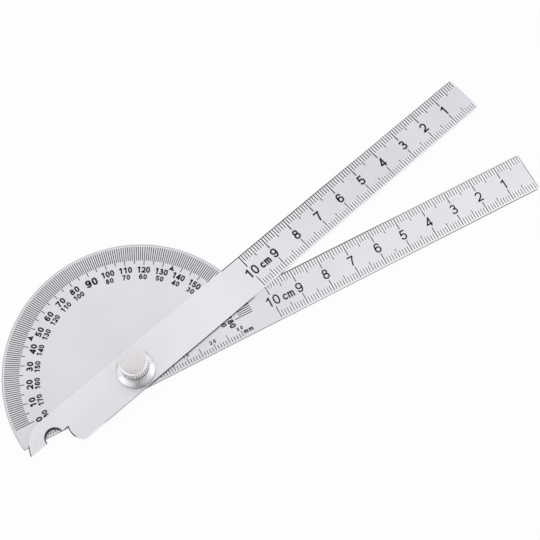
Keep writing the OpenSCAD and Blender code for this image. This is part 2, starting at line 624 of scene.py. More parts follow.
def arm_edges(tree, place, surface, roll, walls):
    """What only the swing arm's edges show: walls painted near white from the head to the free
    end, a painted reflection of the floor, and painted shade on the tail's walls except on the
    near side at the tip and the shoulder's foot, round the sight notch and along the notch and
    shoulder."""
    spot = axes(tree, place)
    tail = ramp(tree, spot["X"], *TAIL_END)
    # Painted reflection: walls past the head are painted near white, like the floor beside them.
    bright = product(tree, walls["Upright"], inverse(tree, tail))
    surface = mix_colour(tree, bright, surface, FLOOR_REFLECTION_TONE)
    tip = product(tree, ramp(tree, spot["X"], *TIP_START), ramp(tree, spot["Y"], *TIP_EDGE))
    foot = product(tree, ramp(tree, spot["X"], *FOOT_END), ramp(tree, spot["Y"], *FOOT_EDGE))
    # Painted shade on the tail's walls and round the sight notch.
    wall_shade = product(tree, walls["Broken"], tail, inverse(tree, tip))
    away = distance_from(tree, place, NOTCH_CENTRE)
    wall_shade = larger(tree, wall_shade, ramp_from(tree, NOTCH_R, away, NOTCH_FADE, 0.0))
    upright = product(tree, walls["Upright"], inverse(tree, foot))
    painted_shade = product(tree, larger(tree, wall_shade, walls["Endwise"]), upright)
    return surface, larger(tree, roll, tail_roll(tree, place)), painted_shade


def tail_roll(tree, place):
    """The painted shade line along the upper edges of the tail's sight notch and shoulder."""
    spot = axes(tree, place)
    away = distance_from(tree, place, NOTCH_CENTRE)
    notch = ramp_from(tree, NOTCH_R, away, SHADE_W, SHADE_W / 2)
    away = distance_from(tree, place, SHOULDER_CENTRE)
    shoulder = product(
        tree,
        ramp_from(tree, SHOULDER_R, away, *SHADE_SPAN),
        ramp(tree, spot["Y"], *SHOULDER_TOP),
        ramp(tree, spot["Y"], *reversed(FOOT_EDGE)),
        ramp(tree, spot["X"], *SHOULDER_END),
    )
    upper = ramp_from(tree, ARM_TOP, spot["Z"], *SHADE_TOP)
    return product(tree, larger(tree, notch, shoulder), upper)


# ---------------------------------------------------------------------------------------
# Turned metal and ink
# ---------------------------------------------------------------------------------------

# Tool marks for each metre, and how strongly they change the tone
FINE_RINGS = 9000.0
COARSE_RINGS = 1700.0
FINE_CONTRAST = 0.12
COARSE_CONTRAST = 0.35
RING_RANGE = (0.22, 0.48)
RING_ROUGH = 0.1
RING_BUMP = 0.5
RING_DEPTH = 0.03 * MM

# How level a face is where it starts and ends to be a chamfer's, which takes a painted highlight,
# and then a wall's, which takes painted shade
HIGHLIGHT_LEVEL = (0.9, 0.8)
WALL_SHADE_LEVEL = (0.5, 0.2)

# Painted shade on a knurled band: from these depths under its crests, and up to these heights
# over its foot
GROOVE_SHADE = (-0.07 * MM, -0.14 * MM)
GROOVE_SHADE_SHARE = 0.55
FOOT_SHADE_LINE = (1.8 * MM, 1.5 * MM)

# The ink's speckle, how much lighter the ink is there, its roughness (by the speckle, and
# at the least) and its gloss
SPECKLE_SCALE = 3000.0
SPECKLE = (0.45, 0.75)
INK_WORN = 0.12
INK_ROUGH = (0.2, 0.5)
INK_GLOSS = 0.3


def turned_rings(name):
    """Fine rings round Z, as a lathe tool leaves them, and the distance from the axis."""
    group, given = start_group(name, ["Vector"], {"Rings Per Metre": FINE_RINGS, "Waver": 0.6})
    radius = vector_math(group, "LENGTH", vector_math(group, "MULTIPLY", given["Vector"], FLAT))
    place = add_node(
        group,
        "ShaderNodeCombineXYZ",
        inputs={0: product(group, radius, given["Rings Per Metre"])},
    )
    lines = noise(group, place.outputs[0], scale=1.0, detail=3.0, roughness=0.7)
    cloud = noise(group, given["Vector"], scale=400.0, detail=1.0)
    strength = math_node(
        group, "MULTIPLY_ADD", cloud, given["Waver"], inverse(group, given["Waver"])
    )
    return end_group(group, {"Rings": product(group, lines, strength), "Radius": radius})


def turned_material(name, colours, roughness, rings_scale, contrast, knurl=None):
    """Turned metal with fine rings, a painted highlight on its chamfers and painted shade on its
    upright walls. Where it has a knurl, given by the radius over its ribs and the height of its
    foot, the painted shade goes only in its grooves and along a line at its foot."""
    face, highlight, shade_tone = colours
    material, tree, shader = new_material(name)
    place = object_place(tree)
    rings = use_group(
        tree, "TurnedRings", turned_rings, {"Vector": place, "Rings Per Metre": rings_scale}
    )
    lines = ramp(tree, rings["Rings"], *RING_RANGE)
    surface = streaked(tree, lines, face, contrast, contrast)
    normal = tree.nodes.new("ShaderNodeNewGeometry").outputs["Normal"]
    level = math_node(tree, "ABSOLUTE", axes(tree, normal)["Z"])
    # A painted highlight: the chamfers get a lighter colour.
    surface = mix_colour(tree, ramp(tree, level, *HIGHLIGHT_LEVEL), surface, highlight)
    # Painted shade on upright faces.
    painted_shade = ramp(tree, level, *WALL_SHADE_LEVEL)
    if knurl:
        crest_r, foot_z = knurl
        # Painted shade in the knurl's grooves and along a line at the band's foot.
        grooves = ramp_from(tree, crest_r, rings["Radius"], *GROOVE_SHADE)
        foot = ramp_from(tree, foot_z, axes(tree, place)["Z"], *FOOT_SHADE_LINE)
        grooves = product(tree, grooves, GROOVE_SHADE_SHARE)
        painted_shade = product(tree, painted_shade, larger(tree, grooves, foot))
    surface = mix_colour(tree, painted_shade, surface, shade_tone)
    rough = math_node(tree, "MULTIPLY_ADD", lines, RING_ROUGH, roughness - RING_ROUGH / 2)
    link_metal(tree, shader, surface, rough, rings["Rings"], RING_BUMP, RING_DEPTH)
    return material


def ink_material(name, tint):
    """Matt black fill with a slight speckle, where it is thinner."""
    material, tree, shader = new_material(name)
    speckle = noise(tree, object_place(tree), SPECKLE_SCALE, detail=3.0)
    thin = ramp(tree, speckle, *SPECKLE)
    wear_and_shade_fade = mix_colour(tree, INK_WORN, tint, WHITE)
    tree.links.new(mix_colour(tree, thin, tint, wear_and_shade_fade), shader.inputs["Base Color"])
    rough = math_node(tree, "MULTIPLY_ADD", speckle, *INK_ROUGH)
    tree.links.new(rough, shader.inputs["Roughness"])
    shader.inputs["Specular IOR Level"].default_value = INK_GLOSS
    return material


def shared_ink(context):
    """The marks' material, made once."""
    finish = context.scene.angle_finder_finish
    return bpy.data.materials.get("mark_ink") or ink_material("mark_ink", finish.ink)


# ---------------------------------------------------------------------------------------
# Meshes
# ---------------------------------------------------------------------------------------

SMOOTH_ANGLE = math.radians(35)

# Vertices closer than this are one, in a new piece and in a CAD node's loose triangles
CLOSE = 0.0001 * MM
LOOSE = 0.001 * MM

# The rounded edges of the plates
EDGE_ROUND = 0.08 * MM
EDGE_ANGLE = math.radians(40)


def new_object(bm, name, material):
    """Puts a mesh in the scene as an object with a material."""
    mesh = bpy.data.meshes.new(name)
    bm.to_mesh(mesh)
    bm.free()
    mesh.materials.append(material)
    made = bpy.data.objects.new(name, mesh)
    bpy.context.scene.collection.objects.link(made)
    return made


def finish_piece(bm, name, body, material, smooth=True, stands_for=None):
    """Makes the piece's object from its mesh, and puts it on its body with its finish."""
    bmesh.ops.remove_doubles(bm, verts=bm.verts, dist=CLOSE)
    bmesh.ops.recalc_face_normals(bm, faces=bm.faces)
    for face in bm.faces:
        face.smooth = smooth
    for edge in bm.edges:
        edge.smooth = smooth and edge.calc_face_angle(math.pi) < SMOOTH_ANGLE
    piece = new_object(bm, name, material)
    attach(piece, body)
    if stands_for:
        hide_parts(stands_for)


def round_edges(piece):
    """Joins a plate's loose triangles and rounds its edges."""
    weld = piece.modifiers.new("weld", "WELD")
    weld.merge_threshold = LOOSE
    bevel = piece.modifiers.new("edges", "BEVEL")
    bevel.width = EDGE_ROUND
    bevel.segments = 3
    bevel.limit_method = "ANGLE"
    bevel.angle_limit = EDGE_ANGLE
    bevel.harden_normals = True


def wire(bm, points):
    """Vertices and edges along points."""
    verts = [bm.verts.new(p) for p in points]
    edges = [bm.edges.new(pair) for pair in zip(verts, verts[1:])]
    return verts, edges


def revolve(bm, profile, steps, rounding=0.0):
    """Turns a profile of (radius, height) points about Z, with its corners rounded."""
    verts = wire(bm, [(r, 0, z) for r, z in profile])[0]
    if rounding:
        bmesh.ops.bevel(
            bm,
            geom=verts[1:-1],
            offset=rounding,
            offset_type="OFFSET",
            segments=3,
            profile=0.5,
            affect="VERTICES",
            material=-1,
        )
    bmesh.ops.spin(
        bm,
        geom=bm.verts[:] + bm.edges[:],
        cent=(0, 0, 0),
        axis=UP,
        angle=math.tau,
        steps=steps,
        use_merge=True,
    )
    bmesh.ops.remove_doubles(bm, verts=bm.verts, dist=CLOSE)


def pull_in(bm, most_at):
    """Moves vertices straight towards Z, as far as the radius that is allowed where they are."""
    for vert in bm.verts:
        reach = Vector((vert.co.x, vert.co.y)).length
        most = most_at(vert.co)
        if reach > most:
            vert.co.x *= most / reach
            vert.co.y *= most / reach


# ---------------------------------------------------------------------------------------
# Numbers. A character is drawn with a broad pen in a box one unit high.
# ---------------------------------------------------------------------------------------

GLYPH_W = 0.65
GLYPH_GAP = 0.1
SMALL_H = 0.62
WIDTHS = {"c": 0.52, "m": 0.66}

# Degrees of an arc for each straight stretch of it, and how squared an arc is: 2 is round
ARC_STEP = 15
FULLNESS = 2.3

# The cosine of half of the sharpest bend that a stroke is mitred for, and how close two
# ends of a stroke are that join
MITER_LIMIT = 0.6
PEN_JOIN = 1e-5


def arc(cx, cy, rx, ry, start, end):
    """Points along an ellipse that is a little squared, with its angles in degrees."""
    steps = max(2, round(abs(end - start) / ARC_STEP))
    points = []
    for i in range(steps + 1):
        turn = math.radians(start + (end - start) * i / steps)
        x, y = math.cos(turn), math.sin(turn)
        reach = (abs(x) ** FULLNESS + abs(y) ** FULLNESS) ** (-1 / FULLNESS)
        points.append((cx + rx * x * reach, cy + ry * y * reach))
    return points


def strokes_of(character, pen):
    """The pen's paths for a character."""
    half = pen / 2
    left, right, foot, top = half, GLYPH_W - half, half, 1 - half
    mid, wide, tall = GLYPH_W / 2, GLYPH_W / 2 - half, 0.5 - half
    waist = 0.53
    upper, lower = (top - waist) / 2, (waist - foot) / 2
    if character == "0":
        return [arc(mid, 0.5, wide, tall, 0, 360)]
    if character == "1":
        stem = 0.62 * GLYPH_W
        return [[(stem, 0), (stem, 1)], [(stem, 0.95), (0.27, 0.8), (0.1, 0.74)]]
    if character == "2":
        bowl = arc(mid, top - 0.25, wide, 0.25, 170, -35)
        return [bowl + [(0.44, 0.37), (0.17, 0.17), (left, foot)], [(0, foot), (GLYPH_W, foot)]]
    if character == "3":
        return [
            arc(mid - 0.02, top - upper, wide - 0.05, upper, 165, -90),
            arc(mid - 0.01, foot + lower, wide, lower, 90, -165),
            [(0.22, waist), (mid, waist)],
        ]
    if character == "4":
        stem, bar = 0.73 * GLYPH_W, 0.27
        return [
            [(stem, 0), (stem, 1)],
            [(stem - 0.2 * half, top), (left, bar)],
            [(0, bar), (GLYPH_W, bar)],
        ]
    if character == "5":
        return [
            [(0.16, top), (GLYPH_W - 0.04, top)],
            [(0.19, 1), (left + 0.04, 0.46)],
            arc(mid - 0.01, 0.335, wide + 0.005, 0.335 - half, 150, -165),
        ]
    if character in "69":
        paths = [
            arc(mid, 0.33, wide, 0.33 - half, 0, 360),
            [(left, 0.33)] + arc(mid + 0.01, 0.5, wide + 0.01, tall, 180, 30),
        ]
        if character == "6":
            return paths
        return [[(GLYPH_W - x, 1 - y) for x, y in path] for path in paths]
    if character == "7":
        return [[(0, top), (GLYPH_W, top)], [(right - 0.01, top), (0.38, 0.52), (0.25, 0)]]
    if character == "8":
        return [
            arc(mid, top - upper, wide - 0.05, upper, 0, 360),
            arc(mid, foot + lower, wide, lower, 0, 360),
        ]
    if character == "c":
        wide = WIDTHS["c"] / 2
        return [arc(wide, SMALL_H / 2, wide - half, SMALL_H / 2 - half, 30, 330)]
    if character == "m":
        bay = (WIDTHS["m"] - pen) / 4
        bend = SMALL_H - half - bay
        paths = [[(half, 0), (half, SMALL_H)]]
        for i in (1, 3):
            paths.append(arc(half + i * bay, bend, bay, bay, 180, 0) + [(half + (i + 1) * bay, 0)])
        return paths
    raise ValueError(f"no strokes for {character!r}")


def sweep_pen(bm, path, pen):
    """Draws one stroke: an edge as wide as the pen is extruded along the path."""
    points = [Vector((x, y, 0)) for x, y in path]
    closed = (points[0] - points[-1]).length < PEN_JOIN
    nib = None
    for i, point in enumerate(points):
        before = points[i - 1] if i else (points[-2] if closed else None)
        after = points[i + 1] if i + 1 < len(points) else (points[1] if closed else None)
        ahead = [
            (b - a).normalized()
            for a, b in ((before, point), (point, after))
            if a is not None and b is not None
        ]
        heading = sum(ahead, Vector()).normalized()
        miter = 1 / max(heading.dot(ahead[0]), MITER_LIMIT)
        side = Vector((-heading.y, heading.x, 0)) * pen / 2 * miter
        if nib is None:
            nib = bm.edges.new([bm.verts.new(point + side), bm.verts.new(point - side)])
            continue
        made = bmesh.ops.extrude_edge_only(bm, edges=[nib])["geom"]
        nib = next(e for e in made if isinstance(e, bmesh.types.BMEdge) and is_end(e, made))
        ends = sorted(nib.verts, key=lambda v: (v.co - point - side).length)
        ends[0].co, ends[1].co = point + side, point - side


def is_end(edge, made):
    """Whether both ends of an extruded edge are new, so that it is the pen's new place."""
    return all(v in made for v in edge.verts)


glyphs = {}


def glyph(character, pen):
    """The flat mesh of a character, drawn once for each pen."""
    key = (character, round(pen, 4))
    if key not in glyphs:
        bm = bmesh.new()
        for path in strokes_of(character, pen):
            sweep_pen(bm, path, pen)
        bmesh.ops.remove_doubles(bm, verts=bm.verts, dist=PEN_JOIN)
        glyphs[key] = bpy.data.meshes.new("glyph_" + character)
        bm.to_mesh(glyphs[key])
        bm.free()
    return glyphs[key]


def add_number(bm, text, height, pen, place, gap=GLYPH_GAP):
    """Writes text on the plane of place, centred on its origin, with its top towards +Y."""
    widths = [WIDTHS.get(character, GLYPH_W) for character in text]
    pen_x = -(sum(widths) + gap * (len(text) - 1)) / 2
    for character, width in zip(text, widths):
        old = set(bm.verts)
        bm.from_mesh(glyph(character, pen))
        fresh = [v for v in bm.verts if v not in old]
        shift = Matrix.Translation((pen_x, -0.5, 0))
        bmesh.ops.transform(bm, matrix=place @ Matrix.Scale(height, 4) @ shift, verts=fresh)
        pen_x += width + gap


def add_line(bm, start, end, width, place):
    """A flat line from start to end, which are (x, y) points on the plane of place."""
    first, last = Vector((*start, 0)), Vector((*end, 0))
    run = last - first
    turn = Matrix.Rotation(math.atan2(run.y, run.x), 4, "Z")
    size = Matrix.Diagonal((run.length, width, 1, 1))
    centre = Matrix.Translation((first + last) / 2)
    bmesh.ops.create_grid(
        bm, x_segments=1, y_segments=1, size=0.5, matrix=place @ centre @ turn @ size
    )


def ink_in(bm, name, body, marks, ink):
    """Gives flat marks their depth, from inside the steel to just over it."""
    bmesh.ops.translate(bm, verts=bm.verts, vec=UP * marks.rise)
    grown = bmesh.ops.extrude_face_region(bm, geom=bm.faces[:])["geom"]
    moved = [v for v in grown if isinstance(v, bmesh.types.BMVert)]
    bmesh.ops.translate(bm, verts=moved, vec=-UP * (marks.rise + marks.sink))
    finish_piece(bm, name, body, ink, smooth=False)


# ---------------------------------------------------------------------------------------
# Scales
# ---------------------------------------------------------------------------------------

# How far each kind of line reaches in from the long edge of an arm, and how much wider
# the lines of whole centimetres are
ARM_LINES = {1: 2.8 * MM, 5: 3.8 * MM, 10: 4.7 * MM}
TENS_STRESS = 1.25

# The places of an arm's numbers and its unit
NUMBER_Y = -0.07 * MM
UNIT_X = 56.1 * MM
UNIT_GAP = 0.02

# Both ends of the lines of the degree scale
DEGREE_START = 43.0 * MM
DEGREE_ENDS = {1: 38.0 * MM, 5: 36.85 * MM, 10: 36.4 * MM}

# The head's numbers: where each row lies, how much wider than the arms' they are, how
# close three digits stand, and by how many degrees those of the first half are early
OUTER_ROW_R = 34.75 * MM
INNER_ROW_R = 32.25 * MM
RIGHT_ANGLE_R = 34.1 * MM
OUTER_STRETCH = 1.08
INNER_STRETCH = 1.04
CLOSE_GAP = 0.05
FIRST_HALF_SHIFT = 0.27

POINTERS_AT = (45, 135)
POINTER_R = 36.6 * MM
POINTER_SIZE = 1.15 * MM

# The scales on the straight edge start this far from the pivot, to either side
EDGE_START = 6.3 * MM
EDGE_LENGTH = 30 * MM
EDGE_LINES = {1: 2.0 * MM, 5: 3.6 * MM, 10: 2.8 * MM}
EDGE_ROW_Y = 3.4 * MM
EDGE_GAP = 0.4
EDGE_UNIT_X = 38.7 * MM
EDGE_UNIT_Y = -4.9 * MM
EDGE_UNIT_H = 1.9 * MM
EDGE_UNIT_GAP = 0.12
EDGE_UNIT_STRETCH = 1.24
INCH = 25.4 * MM
INCH_PARTS = 32
INCH_LINES = {1: 1.2 * MM, 4: 1.8 * MM, 8: 2.4 * MM, 16: 2.9 * MM}


def longest(step, lengths):
    """The length that a line gets: that of the largest unit that its step is a multiple of."""
    return lengths[max(unit for unit in lengths if step % unit == 0)]


def arm_scale(marks, place, name, body, far_w, pen, ink):
    """Both rows of lines of an arm, in its own axes, with its numbers between them. The
    lines of the far row and the numbers' strokes have their own widths."""
    lines, numbers = bmesh.new(), bmesh.new()
    edge = HALF_W - marks.edge_gap
    near = marks.near_gap - HALF_W
    for step in range(1, SCALE_UNITS + 1):
        x = REACH - step * MM
        inner = HALF_W - longest(step, ARM_LINES)
        stress = TENS_STRESS if step % 10 == 0 else 1
        add_line(lines, (x, edge), (x, inner), far_w * stress, place)
        add_line(lines, (x, near), (x, -inner), marks.line_w * stress, place)
    for centimetre in range(1, 11):
        spot = place @ Matrix.Translation((REACH - centimetre * 10 * MM, NUMBER_Y, 0))
        add_number(numbers, str(centimetre), marks.digit_h, pen, spot)
    spot = place @ Matrix.Translation((UNIT_X, NUMBER_Y, 0))
    add_number(numbers, "cm", marks.digit_h, pen, spot, UNIT_GAP)
    ink_in(lines, name + "_lines", body, marks, ink)
    ink_in(numbers, name + "_numbers", body, marks, ink)


def degree_place(reading, radius):
    """A place on the head at a degree reading, which runs clockwise from -X, top outwards."""
    turn = math.pi - math.radians(reading)
    return (
        Matrix.Translation((0, 0, PLATE_TOP))
        @ Matrix.Rotation(turn - math.pi / 2, 4, "Z")
        @ Matrix.Translation((0, radius, 0))
    )


def degree_number(bm, value, height, pen, spot, stretch):
    """Writes a number of the head, with its characters closer where it has three."""
    gap = CLOSE_GAP if value >= 100 else GLYPH_GAP
    add_number(bm, str(value), height, pen, spot @ Matrix.Diagonal((stretch, 1, 1, 1)), gap)


def degree_scale(marks, ink):
    """The lines, both rows of numbers and the pointers of the protractor head."""
    lines, outer, inner, pointers = (bmesh.new() for _ in range(4))
    for reading in range(181):
        end = longest(reading, DEGREE_ENDS)
        place = degree_place(reading, 0)
        add_line(lines, (0, DEGREE_START), (0, end), marks.degree_w, place)
    for reading in range(0, 181, 10):
        if reading == 90:
            spot = degree_place(reading, RIGHT_ANGLE_R)
            degree_number(outer, reading, marks.square_h, marks.bold_pen, spot, OUTER_STRETCH)
            continue
        along = reading - FIRST_HALF_SHIFT if reading < 90 else reading
        spot = degree_place(along, OUTER_ROW_R)
        stretch = OUTER_STRETCH if reading < 100 else 1
        degree_number(outer, reading, marks.degree_h, marks.bold_pen, spot, stretch)
        spot = degree_place(along, INNER_ROW_R)
        degree_number(inner, 180 - reading, marks.reverse_h, marks.bold_pen, spot, INNER_STRETCH)
    for reading in POINTERS_AT:
        place = degree_place(reading, POINTER_R)
        bmesh.ops.create_circle(
            pointers, cap_ends=True, radius=POINTER_SIZE, segments=3, matrix=place
        )
    for bm, name in (
        (lines, "degree_lines"),
        (outer, "degree_numbers"),
        (inner, "reverse_numbers"),
        (pointers, "degree_pointers"),
    ):
        ink_in(bm, name, "base", marks, ink)


def edge_scale(marks, ink):
    """The millimetre scale to the right of the pivot, and the inch scale to its left."""
    lines, numbers = bmesh.new(), bmesh.new()
    top = Matrix.Translation((0, 0, PLATE_TOP))
    edge = -HALF_W + marks.near_gap
    for start, unit, lengths in (
        (EDGE_START, MM, EDGE_LINES),
        (-EDGE_START, -INCH / INCH_PARTS, INCH_LINES),
    ):
        for step in range(round(EDGE_LENGTH / abs(unit)) + 1):
            x = start + step * unit
            end = -HALF_W + longest(step, lengths)
            add_line(lines, (x, edge), (x, end), marks.line_w, top)
    for tens in (10, 20, 30):
        spot = top @ Matrix.Translation((EDGE_START + tens * MM, -EDGE_ROW_Y, 0))
        add_number(numbers, str(tens), marks.edge_h, marks.bold_pen, spot, EDGE_GAP)
    spot = top @ Matrix.Translation((-EDGE_START - INCH, -EDGE_ROW_Y, 0))
    add_number(numbers, "1", marks.edge_h, marks.bold_pen, spot)
    wide = Matrix.Diagonal((EDGE_UNIT_STRETCH, 1, 1, 1))
    spot = top @ Matrix.Translation((EDGE_UNIT_X, EDGE_UNIT_Y, 0)) @ wide
    add_number(numbers, "mm", EDGE_UNIT_H, marks.swing_pen, spot, EDGE_UNIT_GAP)
    ink_in(lines, "edge_lines", "base", marks, ink)
    ink_in(numbers, "edge_numbers", "base", marks, ink)


# ---------------------------------------------------------------------------------------
# The clamp
# ---------------------------------------------------------------------------------------

# The sizes are those of the solids that these pieces replace. The thread's flanks, the
# ribs and the rounded edges are finer here.
THREAD_R = 2.0 * MM
THREAD_ROOT_R = 1.6 * MM
THREAD_LENGTH = 7.6 * MM
THREAD_STEPS = 48
PITCH = 0.7 * MM

# A thread's profile over one pitch: how far up it, and how far out from root to crest
RIDGE = ((0, 0), (0.375, 1), (0.5, 1), (0.875, 0), (1, 0))

STUD_HEAD_R = 3.7 * MM
STUD_HEAD_T = 0.5 * MM
STUD_CHAMFER = 0.4 * MM
STUD_STEPS = 96
STUD_ROUND = 0.04 * MM
JOURNAL_R = 2.5 * MM

WASHER_HOLE_R = 3.0 * MM
WASHER_T = 0.6 * MM
WASHER_LAND = 0.5 * MM
WASHER_STEPS = 192
WASHER_ROUND = 0.08 * MM

RIBS = 36
RIB_STEPS = 10
RIB_DEPTH = 0.2 * MM
BAND_H = 5.9 * MM
BAND_ROWS = 5
TOP_CHAMFER = 0.5 * MM
FOOT_CHAMFER = 0.3 * MM
NUT_ROUND = 0.05 * MM
NECK_R = 3.6 * MM
NECK_H = 1.75 * MM
SPIGOT_R = 2.95 * MM
LIP_R = 3.3 * MM
LIP_T = 0.3 * MM
HOLE_R = 2.05 * MM
HOLE_TOP = ARM_TOP + 7.9 * MM


def threaded_rod(bm, low, high):
    """A right-hand thread between two heights: one turn's profile is spun up a helix."""
    turns = math.ceil((high - low) / PITCH) + 2
    profile = [
        (THREAD_ROOT_R + out * (THREAD_R - THREAD_ROOT_R), 0, low + (up - 1) * PITCH)
        for up, out in RIDGE
    ]
    verts, edges = wire(bm, profile)
    bmesh.ops.spin(
        bm,
        geom=verts + edges,
        cent=(0, 0, 0),
        axis=UP,
        dvec=UP * PITCH / THREAD_STEPS,
        angle=math.tau * turns,
        steps=THREAD_STEPS * turns,
    )
    bmesh.ops.remove_doubles(bm, verts=bm.verts, dist=LOOSE)
    for height, side in ((low, -UP), (high, UP)):
        cut = bmesh.ops.bisect_plane(
            bm,
            geom=bm.verts[:] + bm.edges[:] + bm.faces[:],
            plane_co=UP * height,
            plane_no=side,
            clear_outer=True,
        )
        rim = [e for e in cut["geom_cut"] if isinstance(e, bmesh.types.BMEdge)]
        bmesh.ops.contextual_create(bm, geom=rim)
    pull_in(bm, lambda spot: THREAD_R - max(0.0, spot.z - (high - STUD_CHAMFER)))


def pivot_stud(material):
    """The stud: a flush head, a smooth journal for the swing arm and a real thread."""
    thread = bmesh.new()
    threaded_rod(thread, STUD_TOP - THREAD_LENGTH, STUD_TOP)
    rod = bpy.data.meshes.new("thread")
    thread.to_mesh(rod)
    thread.free()
    bm = bmesh.new()
    revolve(
        bm,
        [
            (0, 0),
            (STUD_HEAD_R, 0),
            (STUD_HEAD_R, STUD_HEAD_T),
            (JOURNAL_R, STUD_HEAD_T),
            (JOURNAL_R, ARM_TOP),
            (0, ARM_TOP),
        ],
        STUD_STEPS,
        STUD_ROUND,
    )
    bm.from_mesh(rod)
    bpy.data.meshes.remove(rod)
    finish_piece(bm, "threaded_stud", "base", material, stands_for="pivot_stud")


def dished_washer(material):
    """The washer: a thin cone on a flat land, with every edge rounded."""
    bm = bmesh.new()
    rim = WASHER_HI.x
    foot, top = WASHER_LO.z, WASHER_HI.z
    section = [
        (WASHER_HOLE_R, top - WASHER_T),
        (rim - WASHER_LAND, foot),
        (rim, foot),
        (rim, foot + WASHER_T),
        (WASHER_HOLE_R, top),
    ]
    seam = (WASHER_HOLE_R, top - WASHER_T / 2)
    revolve(bm, [seam, *section, seam], WASHER_STEPS, WASHER_ROUND)
    finish_piece(
        bm, "turned_washer", "washer", material, stands_for="dished_washer"
    )


def thumb_nut(material):
    """The nut: a turned blank whose band is cut to round-topped ribs."""
    bm = bmesh.new()
    band_r, top, low = NUT_HI.x, NUT_HI.z, NUT_LO.z
    band_z = top - BAND_H
    neck_z = band_z - NECK_H
    first, last = band_z + FOOT_CHAMFER, top - TOP_CHAMFER
    band = [
        (band_r, first + (last - first) * row / BAND_ROWS) for row in range(BAND_ROWS + 1)
    ]
    profile = [
        (0, HOLE_TOP),
        (HOLE_R, HOLE_TOP),
        (HOLE_R, low),
        (LIP_R, low),
        (LIP_R, low + LIP_T),
        (SPIGOT_R, low + LIP_T),
        (SPIGOT_R, neck_z),
        (NECK_R, neck_z),
        (NECK_R, band_z),
        (band_r - FOOT_CHAMFER, band_z),
        *band,
        (band_r - TOP_CHAMFER, top),
        (0, top),
    ]
    revolve(bm, profile, RIBS * RIB_STEPS, NUT_ROUND)

    def rib_r(spot):
        """The radius of the ribs' round tops and the grooves between them."""
        wave = 0.5 - 0.5 * math.cos(RIBS * math.atan2(spot.y, spot.x))
        return band_r - RIB_DEPTH * wave

    pull_in(bm, rib_r)
    finish_piece(bm, "knurled_nut", "nut", material, stands_for="thumb_nut")


# ---------------------------------------------------------------------------------------
# The stage
# ---------------------------------------------------------------------------------------

SENSOR_W = 36
CLIP_START = 0.01

FLOOR_SIZE = 3.0
FLOOR_GAP = 0.02 * MM
FLOOR_MATT = (0.9, 0.9, 0.9, 1)

# Dark cards that only reflections show: a large one round the camera, and a small low one
CARD_R = 0.2
CARD_SHIFT = Vector((-0.055, -0.016, 0.03))
CARD_GLOW = 0.22
LOW_CARD = Vector((0.0, -0.47, 0.2))
LOW_CARD_R = 0.13
LOW_CARD_GLOW = 0.1
CARD_STEPS = 48
CARD_BLACK = (0.03, 0.03, 0.03, 1)
CARD_ROUGH = 0.9

# Each lamp's place and width, and what they look at
LAMPS = (
    ("key", Vector((-0.6, -0.1, 0.5)), 0.6),
    ("fill", Vector((0.6, -0.12, 0.68)), 0.5),
)
AIM = Vector((0.04, 0.01, 0))


def camera_turn(studio):
    """The way that the camera looks."""
    return Euler((studio.tilt, studio.roll, studio.heading), "XYZ")


def look_at(spot):
    """The turn that makes a lamp or a card at a spot look at the object."""
    return (AIM - spot).to_track_quat("-Z", "Y")


def set_camera(scene, studio):
    """The camera of the photograph's view."""
    data = bpy.data.cameras.new("camera")
    data.lens = studio.lens
    data.sensor_width = SENSOR_W
    data.clip_start = CLIP_START
    camera = bpy.data.objects.new("camera", data)
    camera.location = studio.place
    camera.rotation_euler = camera_turn(studio)
    scene.collection.objects.link(camera)
    scene.camera = camera


def seen_white(tree):
    """1 for rays from the camera and rays that metal or glass sends on."""
    path = tree.nodes.new("ShaderNodeLightPath")
    gloss = larger(tree, path.outputs["Is Glossy Ray"], path.outputs["Is Transmission Ray"])
    return larger(tree, path.outputs["Is Camera Ray"], gloss)


def set_world(scene, studio):
    """A white room, whose light on matt surfaces is a little lower than it looks."""
    world = bpy.data.worlds.new("studio")
    world.use_nodes = True
    tree = world.node_tree
    background = tree.nodes["Background"]
    background.inputs["Color"].default_value = padded(WHITE)
    strength = math_node(
        tree, "MULTIPLY_ADD", seen_white(tree), 1 - studio.ambient, studio.ambient
    )
    tree.links.new(strength, background.inputs["Strength"])
    scene.world = world


def set_floor(studio):
    """A white floor that keeps a faint shadow, and isn't seen from below."""
    material = bpy.data.materials.new("white_floor")
    material.use_nodes = True
    tree = material.node_tree
    tree.nodes.clear()
    matt = add_node(tree, "ShaderNodeBsdfDiffuse", inputs={"Color": FLOOR_MATT})
    glow = add_node(tree, "ShaderNodeEmission", inputs={"Color": padded(WHITE), "Strength": 1.0})
    through = tree.nodes.new("ShaderNodeBsdfTransparent")
    blend = product(tree, seen_white(tree), studio.floor_glow)
    lit = add_node(
        tree, "ShaderNodeMixShader", inputs={0: blend, 1: matt.outputs[0], 2: glow.outputs[0]}
    )
    back = tree.nodes.new("ShaderNodeNewGeometry").outputs["Backfacing"]
    both = add_node(
        tree, "ShaderNodeMixShader", inputs={0: back, 1: lit.outputs[0], 2: through.outputs[0]}
    )
    output = tree.nodes.new("ShaderNodeOutputMaterial")
    tree.links.new(both.outputs[0], output.inputs["Surface"])
    bm = bmesh.new()
    place = Matrix.Translation(-UP * FLOOR_GAP)
    bmesh.ops.create_grid(bm, x_segments=1, y_segments=1, size=FLOOR_SIZE, matrix=place)
    floor = new_object(bm, "floor", material)


def set_card(studio):
    """A dark card round the camera, which only bright metal shows."""
    turn = camera_turn(studio).to_matrix().to_4x4()
    place = Matrix.Translation(Vector(studio.place) + CARD_SHIFT) @ turn
    hang_card("dark_card", CARD_R, place, CARD_GLOW)


def set_low_card():
    """A small dark card low in front, which the nut's chamfer shows."""
    turn = look_at(LOW_CARD).to_matrix().to_4x4()
    hang_card("low_card", LOW_CARD_R, Matrix.Translation(LOW_CARD) @ turn, LOW_CARD_GLOW)


